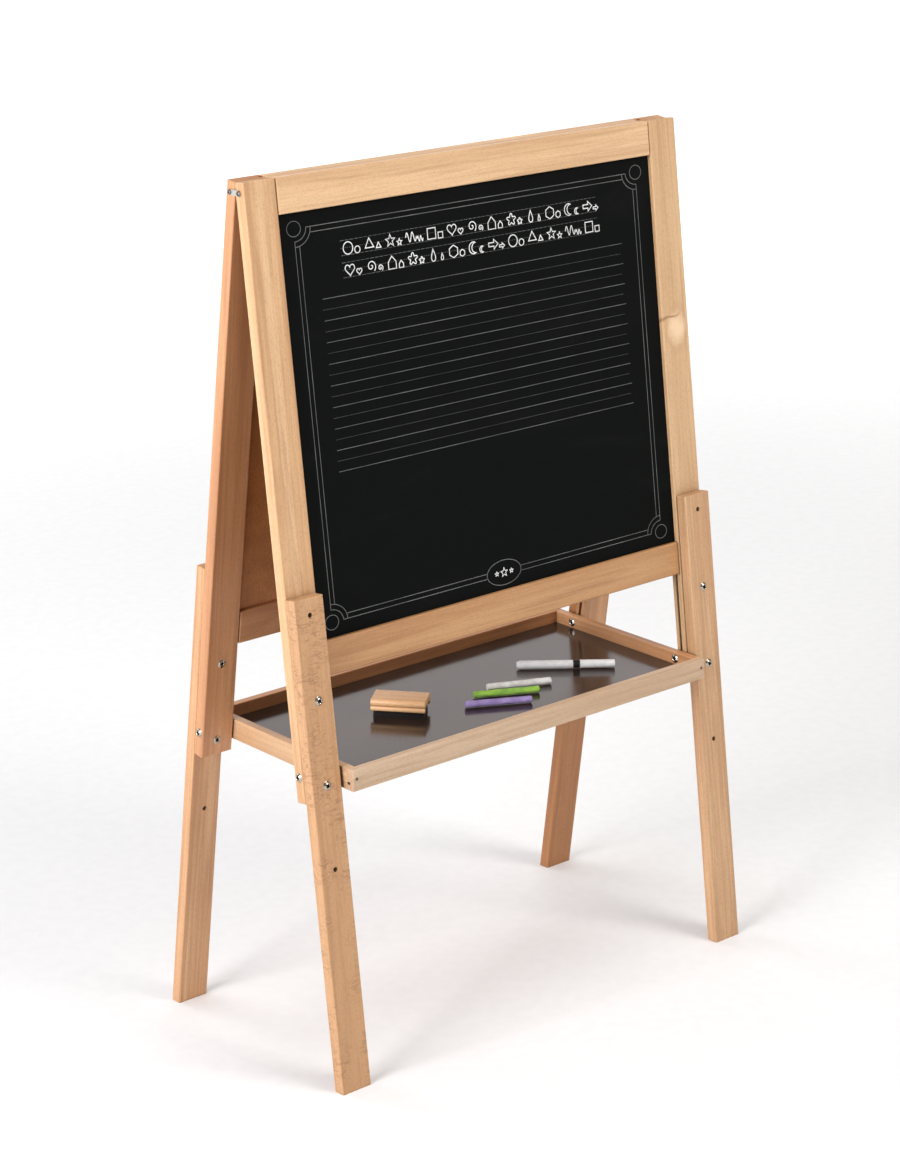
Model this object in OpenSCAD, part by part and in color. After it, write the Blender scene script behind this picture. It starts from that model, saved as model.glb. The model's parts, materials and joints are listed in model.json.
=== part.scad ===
// Kids easel: two panelled frames that fold on top links, four bolted legs and a tray between them.
// Millimetres, +Z up, X across the easel, the blackboard faces -Y. The origin is on the floor, centred.
// Each frame is drawn upright about its top pivot and then leaned: -Y is its outside, +Y its inside.

/* [Frames] */
// Outer width of both frames
frame_w = 600; // [520:10:700]
// Length of a stile
stile_len = 636; // [620:2:700]
// Width of a stile's face
stile_w = 40; // [38:1:46]
// Thickness of stiles and rails
frame_t = 14; // [13:0.5:18]
// Height of the top and bottom rails
rail_h = 37; // [30:1:42]
// Height of the board that shows between the rails
board_show_h = 436; // [400:2:440]
// Thickness of the boards and of their grooves
board_t = 3.5; // [3:0.25:4]
// Depth of the grooves that hold the boards
groove_depth = 6; // [5:0.5:7]
// Radius of the eased edges of the wood
edge_r = 1.5; // [1:0.25:2.5]
// Lean of each frame from upright when the easel stands open, in degrees
lean = 7.5; // [6:0.5:9]

/* [Legs] */
// Width of a leg
leg_w = 38; // [34:1:38]
// Thickness of a leg
leg_t = 14; // [12:0.5:16]
// Distance from a stile's top end to the leg's top end
leg_drop = 420; // [410:2:424]
// Distance from a stile's top end down to the floor, along the leg
floor_drop = 950; // [860:10:1000]
// Distance from a leg's top end to its first hole
first_hole = 18; // [14:1:20]
// Distance between the holes of a leg
hole_pitch = 90; // [86:1:92]
// Diameter of the holes in a leg
leg_hole_d = 5.5; // [5.2:0.1:6]

/* [Top links] */
// Distance from a stile's top end to its pivot
pivot_drop = 11; // [9:0.5:13]
// Gap that the links keep between the two frames
frame_gap = 0.4; // [0.3:0.1:1]
// Height of a link
link_h = 6.0; // [6:0.2:8]
// Thickness of a link
link_t = 1.2; // [1:0.1:1.5]

/* [Tray] */
// Depth of the tray from front to back
tray_depth = 244; // [236:2:260]
// Height of the tray's rails
tray_h = 23.5; // [22:0.5:26]
// Thickness of the tray's rails
tray_rail_t = 10; // [9:0.5:12]
// Depth of the tray's inside
tray_inside = 14; // [13:0.5:15]
// Thickness of the tray's bottom sheet
tray_sheet_t = 3; // [2.5:0.5:4]
// Distance from a stile's top end to the tray bolt
tray_bolt_drop = 608; // [604:1:612]
// Gap between the tray's ends and the stiles
tray_side_gap = 1.5; // [1.2:0.1:2]

/* [Bolts] */
// Diameter of the bolts
bolt_d = 5; // [4:0.5:5]
// Diameter of the round heads
head_d = 10; // [9:0.5:11]
// Height of the round heads
head_h = 2.8; // [2.4:0.1:3.2]
// Outer diameter of the threaded sleeves
sleeve_d = 7; // [6.5:0.25:7.5]

/* [Things in the tray] */
// Length of a chalk
chalk_len = 76; // [70:1:80]
// Diameter of a chalk
chalk_d = 8; // [7:0.5:10]
// Length of the eraser
eraser_len = 60; // [56:1:72]
// Width of the eraser
eraser_w = 36; // [32:1:44]
// Height of the eraser's wooden handle
handle_h = 13; // [11:0.5:14]
// Height of the eraser's felt pad
felt_h = 7.5; // [6:0.5:9]
// Diameter of the marker's barrel
marker_d = 9.5; // [8.5:0.5:11]
// Length of the marker with its cap on
marker_len = 112; // [108:1:120]

/* [Hidden] */
$fn = 48;

beech = [0.86, 0.68, 0.48];
steel = [0.72, 0.70, 0.67];
far = 2000;                                   // larger than the easel, for cutting planes
eps = 0.01;

// The frames' pivots
pivot_y = (frame_t + frame_gap) / 2;
pivot_z = (floor_drop - pivot_drop) * cos(lean) - (frame_t + leg_t) / 2 * sin(lean);

// Heights in a frame's own coordinates, measured from its pivot
frame_top = pivot_drop;
board_top = frame_top - rail_h;
board_bottom = board_top - board_show_h;
leg_top = frame_top - leg_drop;
leg_bolt_z = [for (hole = [1, 2]) leg_top - first_hole - hole * hole_pitch];
tray_bolt_z = frame_top - tray_bolt_drop;

side_x = frame_w / 2;                         // outer side of the stiles
stile_inner_x = side_x - stile_w;
leg_hole_x = side_x - leg_w / 2;
tongue_len = groove_depth - 1;                // tongues and boards stop 1 mm short of the groove's bottom
shoulder_gap = 0.8;                           // dark joint line between a rail's shoulder and its stile
shoulder_x = stile_inner_x - shoulder_gap;    // half of a rail's length between its tongues
nut_len = 10;                                 // barrel of a threaded sleeve nut in a stile
nut_bore_len = nut_len - 1;
nut_head_h = 2;

// The tray, in the easel's coordinates
tray_bolt_y = -pivot_y + tray_bolt_z * sin(lean);
tray_bolt_h = pivot_z + tray_bolt_z * cos(lean);
bolt_below_rim = 7.4;
tray_top = tray_bolt_h + bolt_below_rim;
tray_floor = tray_top - tray_inside;
tray_x = stile_inner_x - tray_side_gap;
tray_y = tray_depth / 2;
tray_groove = 5;
tray_running = 0.1;                           // play of the turning tray beside its front sleeves' heads
pivot_radial = 0.05;                          // radial play of the turning bores

// Link and screw sizes
link_screw_d = 3.5;
link_screw_len = 16;
link_clear = 0.2;
link_head_d = 5.6;
link_head_h = 2.0;

// Hexagon sockets in the round heads, across their corners
bolt_socket_d = 3.5;
screw_socket_d = 2;

// Nails at the tray's corners
nail_below_rim = 10;
nail_head_d = 3.6;
nail_head_sunk = 0.8;
nail_d = 1.8;
nail_len = 26;

steel_sheet_t = 0.5;                          // enamelled sheet of the whiteboard
enamel_y = steel_sheet_t - board_t / 2;       // where that sheet meets its backing

// Where the loose things lie: [x, y, angle]
eraser_at = [-89.4, 1.5, -51];
white_at = [63.2, -24.1, -24.3];
green_at = [35, -34.2, -26.8];
purple_at = [7.6, -51.4, -28];
marker_at = [144.7, -13.6, -38.4];
lie_gap = 0.3;                                // round things lie this far above the sheet
cap_len = 40;
grip_len = 8;
barrel_len = marker_len - cap_len - grip_len;
neck_d = 7.4;
neck_len = 16;
nib_cone_len = 8;
nib_len = 6;
cap_d = marker_d + 0.5;

// ---- Helpers ----

module lean_front() translate([0, -pivot_y, pivot_z]) rotate([-lean, 0, 0]) children();

module lean_back() mirror([0, 1, 0]) lean_front() children();

module other_side() mirror([1, 0, 0]) children();

module both_sides() {
    children();
    other_side() children();
}

module eased_rect(w, h, r) {
    translate([r, 0]) square([w - 2 * r, h]);
    translate([0, r]) square([w, h - 2 * r]);
    for (x = [r, w - r], y = [r, h - r]) translate([x, y]) circle(r);
}

// A block with every edge eased, from the origin
module eased_block(size, r) {
    intersection() {
        linear_extrude(size.z) eased_rect(size.x, size.y, r);
        translate([0, size.y, 0]) rotate([90, 0, 0]) linear_extrude(size.y) eased_rect(size.x, size.z, r);
        rotate([90, 0, 90]) linear_extrude(size.x) eased_rect(size.y, size.z, r);
    }
}

// Everything inside the upright plane where the two leaned frames meet above their pivots
module meeting_bevel()
    rotate([lean, 0, 0]) translate([-far / 2, frame_t / 2, -frame_t / 4]) cube([far, far, far]);

// Everything below the floor, in a frame's own coordinates
module below_floor()
    rotate([lean, 0, 0]) translate([-far / 2, -far / 2, -pivot_z - far]) cube(far);

// Round head on the XY plane with a hexagon socket
module round_head(d, h, socket) {
    ball_r = (d * d / 4 + h * h) / (2 * h);
    difference() {
        intersection() {
            translate([0, 0, h - ball_r]) sphere(ball_r);
            cylinder(d = d, h = h);
        }
        translate([0, 0, h * 0.4]) cylinder(d = socket, h = h, $fn = 6);
    }
}

module bolt(len) {
    round_head(head_d, head_h, bolt_socket_d);
    translate([0, 0, -len]) cylinder(d = bolt_d, h = len + eps);
}

// Threaded sleeve with a round head; the bore is open at its lower end
module sleeve_nut(len, bore_len, barrel_d) {
    difference() {
        union() {
            round_head(head_d, nut_head_h, bolt_socket_d);
            translate([0, 0, -len]) cylinder(d = barrel_d, h = len + eps);
        }
        translate([0, 0, -len - 1]) cylinder(d = bolt_d, h = bore_len + 1);
    }
}

module along_x(x, y, z) translate([x, y, z]) rotate([0, -90, 0]) children();

module outward(y, z, x = -leg_hole_x) translate([x, y, z]) rotate([90, 0, 0]) children();

module inward(y, z, x = -leg_hole_x) translate([x, y, z]) rotate([-90, 0, 0]) children();

// ---- Frames: left-hand pieces, drawn upright about the pivot ----

module stile() {
    difference() {
        translate([-side_x, -frame_t / 2, frame_top - stile_len])
            eased_block([stile_w, frame_t, stile_len], edge_r);
        translate([-stile_inner_x - groove_depth, -board_t / 2, -far / 2])
            cube([groove_depth + 1, board_t, far]);
        meeting_bevel();
        for (z = leg_bolt_z) {
            outward(0, z) cylinder(d = bolt_d, h = frame_t);
            inward(frame_t / 2 - nut_len, z) cylinder(d = sleeve_d, h = frame_t);
        }
        along_x(-stile_inner_x + 1, 0, tray_bolt_z) cylinder(d = bolt_d, h = stile_w + 2);
        along_x(-side_x + link_screw_len, 0, 0) cylinder(d = link_screw_d, h = link_screw_len + 1);
    }
}

// A rail with a tongue at each end, its lower edge at z; the groove is in its lower or upper edge
module rail(z, groove_below) {
    tongue_z = z + (groove_below ? groove_depth : edge_r);
    difference() {
        union() {
            translate([-shoulder_x, -frame_t / 2, z])
                eased_block([2 * shoulder_x, frame_t, rail_h], edge_r);
            translate([-stile_inner_x - tongue_len, -board_t / 2, tongue_z])
                cube([2 * (stile_inner_x + tongue_len), board_t, rail_h - groove_depth - edge_r]);
        }
        translate([-far / 2, -board_t / 2, groove_below ? z - 1 : z + rail_h - groove_depth])
            cube([far, board_t, groove_depth + 1]);
        meeting_bevel();
    }
}

// A sheet in the frame's grooves, between two depths measured from the middle of the groove
module board(y_from, y_to) {
    w = 2 * (stile_inner_x + tongue_len);
    translate([-w / 2, y_from, board_bottom - tongue_len])
        cube([w, y_to - y_from, board_show_h + 2 * tongue_len]);
}

module leg() {
    spare = 40;                               // cut off again at the floor
    difference() {
        translate([-side_x, -frame_t / 2 - leg_t, frame_top - floor_drop - spare])
            eased_block([leg_w, leg_t, floor_drop + spare - leg_drop], edge_r);
        for (hole = [0 : 3])
            outward(-frame_t / 2 + 1, leg_top - first_hole - hole * hole_pitch)
                cylinder(d = leg_hole_d, h = leg_t + 2);
        below_floor();
    }
}

module leg_bolts() {
    for (z = leg_bolt_z) outward(-frame_t / 2 - leg_t, z) bolt(leg_t + frame_t - nut_len + nut_bore_len - 1);
}

module leg_nuts() {
    for (z = leg_bolt_z) inward(frame_t / 2, z) sleeve_nut(nut_len, nut_bore_len, sleeve_d);
}

module link_screw() {
    along_x(-side_x - link_clear - link_t - tray_running, 0, 0) {
        round_head(link_head_d, link_head_h, screw_socket_d);
        translate([0, 0, -link_screw_len - link_t])
            cylinder(d = link_screw_d, h = link_screw_len + link_t + eps);
    }
}

// ---- Top links ----

module top_link() {
    color(steel) along_x(-side_x - link_clear, 0, pivot_z) linear_extrude(link_t) difference() {
        union() {
            square([link_h, 2 * pivot_y], center = true);
            for (y = [-pivot_y, pivot_y]) translate([0, y]) circle(d = link_h);
        }
        for (y = [-pivot_y, pivot_y]) translate([0, y]) circle(d = link_screw_d + 2 * pivot_radial);
    }
}

// ---- Tray ----

module tray_groove_cut()
    translate([-tray_x - far, -tray_y + tray_rail_t - tray_groove, tray_floor - tray_sheet_t])
        cube([2 * far, tray_depth - 2 * (tray_rail_t - tray_groove), tray_sheet_t]);

// Bores for the sleeves: the front pair turns, the back pair is tight
module tray_bores() {
    for (side = [-1, 1]) {
        translate([side * (tray_x - tray_rail_t - 1), tray_bolt_y, tray_bolt_h]) rotate([0, side * 90, 0])
            cylinder(d = sleeve_d + 2 * pivot_radial, h = tray_rail_t + 2);
        translate([side * (tray_x - tray_rail_t - 1), -tray_bolt_y, tray_bolt_h]) rotate([0, side * 90, 0])
            cylinder(d = sleeve_d, h = tray_rail_t + 2);
    }
}

module nails()
    for (side = [-1, 1], end = [-1, 1])
        translate([side * (tray_x - tray_rail_t / 2), end * tray_y, tray_top - nail_below_rim])
            rotate([end * 90, 0, 0]) {
                cylinder(d = nail_head_d, h = nail_head_sunk);
                cylinder(d = nail_d, h = nail_len);
            }

module tray_long_rail() {
    color(beech) difference() {
        translate([-tray_x, -tray_y, tray_top - tray_h]) eased_block([2 * tray_x, tray_rail_t, tray_h], 1);
        tray_groove_cut();
        nails();
    }
}

module tray_end_rail() {
    color(beech) difference() {
        translate([-tray_x, -tray_y + tray_rail_t, tray_top - tray_h])
            eased_block([tray_rail_t, tray_depth - 2 * tray_rail_t, tray_h], 1);
        translate([-tray_x + tray_rail_t - tray_groove, -far / 2, tray_floor - tray_sheet_t])
            cube([tray_groove + 1, far, tray_sheet_t]);
        tray_bores();
        nails();
    }
}

// ---- Loose things, drawn with their lower side on the XY plane, lengthwise along X ----

module lay(at, height = 0) translate([at.x, at.y, tray_floor + height]) rotate([0, 0, at.z]) children();

// A plate with a narrow cove along each side
module handle_profile() {
    cove_r = 1.7;
    difference() {
        square([eraser_w, handle_h]);
        for (x = [0, eraser_w]) translate([x, handle_h * 0.47]) circle(cove_r);
    }
}

module chalk(at)
    lay(at, lie_gap + chalk_d / 2) rotate([0, 90, 0]) cylinder(d = chalk_d, h = chalk_len, center = true);

// The marker's axis runs along +Z here, its blunt end at the origin
module lay_marker()
    lay(marker_at, lie_gap + cap_d / 2) translate([-marker_len / 2, 0, 0]) rotate([0, 90, 0]) children();

// ---- Nodes ----

module front_stile_left() color(beech) lean_front() stile();
module front_stile_right() color(beech) lean_front() other_side() stile();
module front_top_rail() color(beech) lean_front() rail(board_top, true);
module front_bottom_rail() color(beech) lean_front() rail(board_bottom - rail_h, false);
module blackboard() color([0.08, 0.09, 0.08]) lean_front() board(-board_t / 2, board_t / 2);
module front_leg_left() color(beech) lean_front() leg();
module front_leg_right() color(beech) lean_front() other_side() leg();
module front_leg_bolts() color(steel) lean_front() both_sides() leg_bolts();
module front_leg_nuts() color(steel) lean_front() both_sides() leg_nuts();
module front_link_screws() color(steel) lean_front() both_sides() link_screw();

module front_tray_bolts() {
    bolt_len = stile_w + tray_side_gap + tray_rail_t - 2;
    color(steel) lean_front() both_sides() along_x(-side_x, 0, tray_bolt_z) bolt(bolt_len);
}

// Heads inside the tray; the barrels reach the washers, so the tray turns on them freely
module front_tray_sleeves() {
    len = tray_rail_t + 2 * tray_running;
    color(steel) both_sides() translate([-tray_x + tray_rail_t + tray_running, tray_bolt_y, tray_bolt_h])
        rotate([0, 90, 0]) sleeve_nut(len, len - 1, sleeve_d);
}

module washer(len) difference() {
    cylinder(d = head_d, h = len);
    translate([0, 0, -1]) cylinder(d = bolt_d, h = len + 2);
}

module front_tray_washers() {
    color(steel) both_sides() translate([-stile_inner_x, tray_bolt_y, tray_bolt_h]) rotate([0, 90, 0])
        washer(tray_side_gap - tray_running);
}

module top_link_left() top_link();
module top_link_right() other_side() top_link();

module back_stile_left() color(beech) lean_back() stile();
module back_stile_right() color(beech) lean_back() other_side() stile();
module back_top_rail() color(beech) lean_back() rail(board_top, true);
module back_bottom_rail() color(beech) lean_back() rail(board_bottom - rail_h, false);
module whiteboard_backing() color([0.42, 0.27, 0.17]) lean_back() board(enamel_y, board_t / 2);
module whiteboard_steel() color([0.95, 0.95, 0.95]) lean_back() board(-board_t / 2, enamel_y);
module back_leg_left() color(beech) lean_back() leg();
module back_leg_right() color(beech) lean_back() other_side() leg();
module back_leg_bolts() color(steel) lean_back() both_sides() leg_bolts();
module back_leg_nuts() color(steel) lean_back() both_sides() leg_nuts();
module back_link_screws() color(steel) lean_back() both_sides() link_screw();

// Drawn with the tips off, flush with the stiles' insides, so that the frame can fold away from the tray
module back_tray_bolts() color(steel) lean_back() both_sides() along_x(-side_x, 0, tray_bolt_z) bolt(stile_w);

module tray_front_rail() tray_long_rail();
module tray_back_rail() mirror([0, 1, 0]) tray_long_rail();
module tray_end_rail_left() tray_end_rail();
module tray_end_rail_right() other_side() tray_end_rail();
module tray_nails() color(steel) nails();

module tray_sheet() {
    inset = tray_rail_t - tray_groove + 0.5;
    color([0.40, 0.35, 0.32]) translate([-tray_x + inset, -tray_y + inset, tray_floor - tray_sheet_t])
        cube([2 * (tray_x - inset), 2 * (tray_y - inset), tray_sheet_t]);
}

module back_tray_sleeves() {
    color(steel) both_sides() translate([-tray_x + tray_rail_t, -tray_bolt_y, tray_bolt_h])
        rotate([0, 90, 0]) sleeve_nut(tray_rail_t, tray_rail_t - 1, sleeve_d);
}

module back_tray_washers() {
    stile_play = 0.3;
    color(steel) both_sides() translate([-tray_x, -tray_bolt_y, tray_bolt_h]) rotate([0, -90, 0])
        washer(tray_side_gap - stile_play);
}

module eraser_handle() {
    color([0.87, 0.70, 0.47]) lay(eraser_at, felt_h) translate([-eraser_len / 2, -eraser_w / 2, 0])
        rotate([90, 0, 90]) linear_extrude(eraser_len) handle_profile();
}

module eraser_felt() {
    inset = 1.5;
    color([0.16, 0.12, 0.10]) lay(eraser_at) translate([inset - eraser_len / 2, inset - eraser_w / 2, 0])
        cube([eraser_len - 2 * inset, eraser_w - 2 * inset, felt_h]);
}

module chalk_white() color([0.88, 0.87, 0.85]) chalk(white_at);
module chalk_green() color([0.60, 0.80, 0.25]) chalk(green_at);
module chalk_purple() color([0.60, 0.47, 0.75]) chalk(purple_at);

module marker_barrel() {
    end_h = 3;
    color([0.85, 0.85, 0.85]) lay_marker() {
        translate([0, 0, end_h]) cylinder(d = marker_d, h = barrel_len - end_h);
        cylinder(d1 = marker_d - 1.6, d2 = marker_d, h = end_h);
    }
}

module marker_grip() {
    color([0.08, 0.08, 0.08]) lay_marker() translate([0, 0, barrel_len]) {
        cylinder(d = marker_d - 0.3, h = grip_len - 0.3);
        cylinder(d = neck_d, h = grip_len + neck_len);
        translate([0, 0, grip_len + neck_len]) cylinder(d1 = neck_d, d2 = 3.6, h = nib_cone_len);
    }
}

module marker_nib() {
    color([0.05, 0.05, 0.05]) lay_marker()
        translate([0, 0, barrel_len + grip_len + neck_len + nib_cone_len]) cylinder(d = 2.6, h = nib_len);
}

module marker_cap() {
    wall_end = 2;
    color([0.95, 0.95, 0.95]) lay_marker() translate([0, 0, barrel_len + grip_len]) difference() {
        union() {
            cylinder(d = cap_d, h = cap_len - 1);
            translate([0, 0, cap_len - 1]) cylinder(d1 = cap_d, d2 = cap_d - 2, h = 1);
        }
        translate([0, 0, -1]) cylinder(d = neck_d + 4 * pivot_radial, h = cap_len - wall_end + 1);
    }
}

front_stile_left();
front_stile_right();
front_top_rail();
front_bottom_rail();
blackboard();
front_leg_left();
front_leg_right();
front_leg_bolts();
front_leg_nuts();
front_link_screws();
front_tray_bolts();
front_tray_sleeves();
front_tray_washers();
top_link_left();
top_link_right();
back_stile_left();
back_stile_right();
back_top_rail();
back_bottom_rail();
whiteboard_backing();
whiteboard_steel();
back_leg_left();
back_leg_right();
back_leg_bolts();
back_leg_nuts();
back_link_screws();
back_tray_bolts();
tray_front_rail();
tray_back_rail();
tray_end_rail_left();
tray_end_rail_right();
tray_sheet();
tray_nails();
back_tray_sleeves();
back_tray_washers();
eraser_handle();
eraser_felt();
chalk_white();
chalk_green();
chalk_purple();
marker_barrel();
marker_grip();
marker_nib();
marker_cap();
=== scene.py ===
"""Looks of a kids' easel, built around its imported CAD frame.

Metres, +Z up, X across the easel, and the blackboard faces -Y. Named sizes are in metres; those written
with MM are thought of in millimetres. Every place is worked out from the frame's nodes and joints.
"""

import json
import math
import random

import bmesh
import bpy
from mathutils import Matrix, Vector, noise


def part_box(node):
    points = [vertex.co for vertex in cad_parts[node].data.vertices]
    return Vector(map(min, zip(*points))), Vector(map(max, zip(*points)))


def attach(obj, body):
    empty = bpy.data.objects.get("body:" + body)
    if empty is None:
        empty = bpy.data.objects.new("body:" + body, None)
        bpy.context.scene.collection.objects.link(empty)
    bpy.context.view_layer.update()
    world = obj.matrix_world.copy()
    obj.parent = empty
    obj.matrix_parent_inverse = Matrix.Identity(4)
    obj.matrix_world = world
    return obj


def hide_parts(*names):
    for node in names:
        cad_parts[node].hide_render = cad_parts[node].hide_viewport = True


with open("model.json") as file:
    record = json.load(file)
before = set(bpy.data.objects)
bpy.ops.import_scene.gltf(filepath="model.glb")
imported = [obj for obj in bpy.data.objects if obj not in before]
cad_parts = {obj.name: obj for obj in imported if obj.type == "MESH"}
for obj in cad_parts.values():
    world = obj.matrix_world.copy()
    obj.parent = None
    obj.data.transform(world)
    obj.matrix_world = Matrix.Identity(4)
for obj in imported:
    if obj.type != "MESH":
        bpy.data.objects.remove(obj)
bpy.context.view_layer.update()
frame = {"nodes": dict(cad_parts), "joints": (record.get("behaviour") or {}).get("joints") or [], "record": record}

MM = 0.001
SAME_POINT = 0.001 * MM
NODES = frame["nodes"]
BODY_OF = {node: body for body, nodes in frame["record"]["behaviour"]["bodies"].items() for node in nodes}
SLOT_OF = {part["node"]: part["material_slot"] for part in frame["record"]["subparts"]}
JOINT = {joint["name"]: joint for joint in frame["joints"]}
FRONT, BACK = -1, 1


# ---- Where things are ----

def extent(points):
    """The lowest and highest corners of some points."""
    low = Vector([min(p[i] for p in points) for i in range(3)])
    high = Vector([max(p[i] for p in points) for i in range(3)])
    return low, high


def lean_of(node):
    """How far a flat, leaning node is from upright, from the normal of its largest face."""
    face = max(NODES[node].data.polygons, key=lambda polygon: polygon.area)
    return math.atan2(abs(face.normal.z), abs(face.normal.y))


LEAN = lean_of("blackboard")
PIVOTS = {FRONT: Vector(JOINT["front_pivot"]["pos_m"]), BACK: Vector(JOINT["back_fold"]["pos_m"])}


def frame_space(side):
    """From a frame's own space, where it stands upright about its pivot, to the row frame."""
    return Matrix.Translation(PIVOTS[side]) @ Matrix.Rotation(side * LEAN, 4, "X")


def space_of(node):
    """The space in which a node's long edges run along the axes."""
    if node.endswith(("tray_sleeves", "tray_washers")):
        return Matrix.Identity(4)
    if node.startswith(("front", "blackboard")):
        return frame_space(FRONT)
    if node.startswith(("back", "whiteboard")):
        return frame_space(BACK)
    return Matrix.Identity(4)


def box_in(node, space):
    """A node's box in a space of its own."""
    back = space.inverted()
    return extent([back @ v.co for v in NODES[node].data.vertices])


def solids(node, space):
    """The separate solids of a node, each as its points in that space, in a fixed order."""
    bm = bmesh.new()
    bm.from_mesh(NODES[node].data)
    bmesh.ops.remove_doubles(bm, verts=bm.verts, dist=SAME_POINT)
    bm.transform(space.inverted())
    left, found = set(bm.verts), []
    while left:
        stack, points = [left.pop()], []
        while stack:
            vert = stack.pop()
            points.append(vert.co.copy())
            near = {edge.other_vert(vert) for edge in vert.link_edges} & left
            left -= near
            stack.extend(near)
        found.append(points)
    bm.free()
    return sorted(found, key=lambda points: [round(c, 4) for c in extent(points)[0]])


def lying(node, towards=None):
    """A space whose X runs along a loose thing, from the middle of its underside, and the thing's size."""
    points = [v.co for v in NODES[node].data.vertices]

    def across(angle):
        reach = [p.y * math.cos(angle) - p.x * math.sin(angle) for p in points]
        return max(reach) - min(reach)

    # The angle at which the thing is narrowest, found in four rounds of finer and finer steps
    best, step = 0.0, math.radians(2)
    for _ in range(4):
        best = min([best + k * step for k in range(-45, 46)], key=across)
        step /= 20
    turn = Matrix.Rotation(best, 4, "Z")
    low, high = extent([turn.inverted() @ p for p in points])
    middle = turn @ Vector(((low.x + high.x) / 2, (low.y + high.y) / 2, low.z))
    if towards is not None and (turn @ Vector((1, 0, 0))).dot(towards - middle) < 0:
        turn = turn @ Matrix.Rotation(math.pi, 4, "Z")
    return Matrix.Translation(middle) @ turn, high - low


# ---- Shader trees ----

class Shader:
    """A Principled material and short names for the nodes that feed it."""

    def __init__(self, name, **sockets):
        self.material = bpy.data.materials.new(name)
        self.material.use_nodes = True
        self.tree = self.material.node_tree
        self.bsdf = self.tree.nodes["Principled BSDF"]
        self.place = self.node("TexCoord").outputs["Object"]
        for socket, value in sockets.items():
            self.set(socket.replace("_", " "), value)

    def node(self, kind, settings=None, **inputs):
        """A shader node. An input is a value or another node's output; _ stands for a space in its name."""
        made = self.tree.nodes.new("ShaderNode" + kind)
        for key, value in (settings or {}).items():
            setattr(made, key, value)
        for key, value in inputs.items():
            index = int(key[1:]) if key[1:].isdigit() else key.replace("_", " ")
            self.plug(made.inputs[index], value)
        return made

    def plug(self, socket, value):
        if isinstance(value, bpy.types.NodeSocket):
            self.tree.links.new(value, socket)
        elif isinstance(value, tuple) and socket.type == "RGBA":
            socket.default_value = (*value, 1.0)
        else:
            socket.default_value = value

    def set(self, name, value):
        self.plug(self.bsdf.inputs[name], value)

    def math(self, operation, *values):
        inputs = {f"i{k}": value for k, value in enumerate(values)}
        return self.node("Math", {"operation": operation}, **inputs).outputs[0]

    def vector(self, operation, *values, out="Vector"):
        inputs = {f"i{k}": value for k, value in enumerate(values)}
        return self.node("VectorMath", {"operation": operation}, **inputs).outputs[out]

    def turned(self, vector, rotation=(0, 0, 0), shift=(0, 0, 0), scale=(1, 1, 1), kind="POINT"):
        made = self.node("Mapping", {"vector_type": kind}, Vector=vector, Rotation=rotation, Scale=scale)
        if kind == "POINT":
            made.inputs["Location"].default_value = shift
        return made.outputs[0]

    def axes(self, vector):
        return self.node("SeparateXYZ", Vector=vector).outputs

    def noise(self, vector, scale=1.0, detail=2.0, roughness=0.5, distortion=0.0, out=0):
        made = self.node("TexNoise", Vector=vector, Scale=scale, Detail=detail, Roughness=roughness,
                         Distortion=distortion)
        return made.outputs[out]

    def cells(self, vector, scale=1.0):
        """The distance to the nearest of many scattered points."""
        return self.node("TexVoronoi", Vector=vector, Scale=scale).outputs["Distance"]

    def step(self, value, low, high, to_low=0.0, to_high=1.0):
        """Goes smoothly from to_low to to_high as value goes from low to high."""
        inputs = {"From_Min": low, "From_Max": high, "To_Min": to_low, "To_Max": to_high}
        return self.node("MapRange", {"interpolation_type": "SMOOTHSTEP"}, Value=value, **inputs).outputs[0]

    def mix(self, factor, first, second):
        """From the first colour to the second as factor goes from 0 to 1."""
        made = self.node("Mix", {"data_type": "RGBA"})
        self.plug(made.inputs[0], factor)
        self.plug(made.inputs[6], first)
        self.plug(made.inputs[7], second)
        return made.outputs[2]

    def laid(self, colour, mask, strength, paint):
        """The colour with paint over it, as strong as that where the mask is 1."""
        return self.mix(self.math("MULTIPLY", mask, strength), colour, paint)

    def mix_values(self, factor, first, second):
        """The same as mix, for two plain values."""
        return self.node("Mix", {"data_type": "FLOAT"}, i0=factor, i2=first, i3=second).outputs[0]

    def bump(self, height, depth, strength=1.0):
        """Bump of a height from 0 to 1 that is depth metres deep."""
        return self.node("Bump", Height=height, Distance=depth, Strength=strength).outputs[0]


GRAIN_TURNS = {
    "x": Matrix.Identity(3),
    "y": Matrix.Rotation(math.radians(-90), 3, "Z"),
    "z": Matrix.Rotation(math.radians(90), 3, "Y"),
}
STREAK_BROWN = (0.46, 0.252, 0.122)
# Colour and reach of the painted shade that ambient occlusion lays in crevices, holes and joints
CREVICE_SHADE_BROWN = (0.10, 0.045, 0.020)
CREVICE_SHADE_REACH = 9 * MM
RING_WIDTH_MM = (4.4, 7.0)


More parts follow.
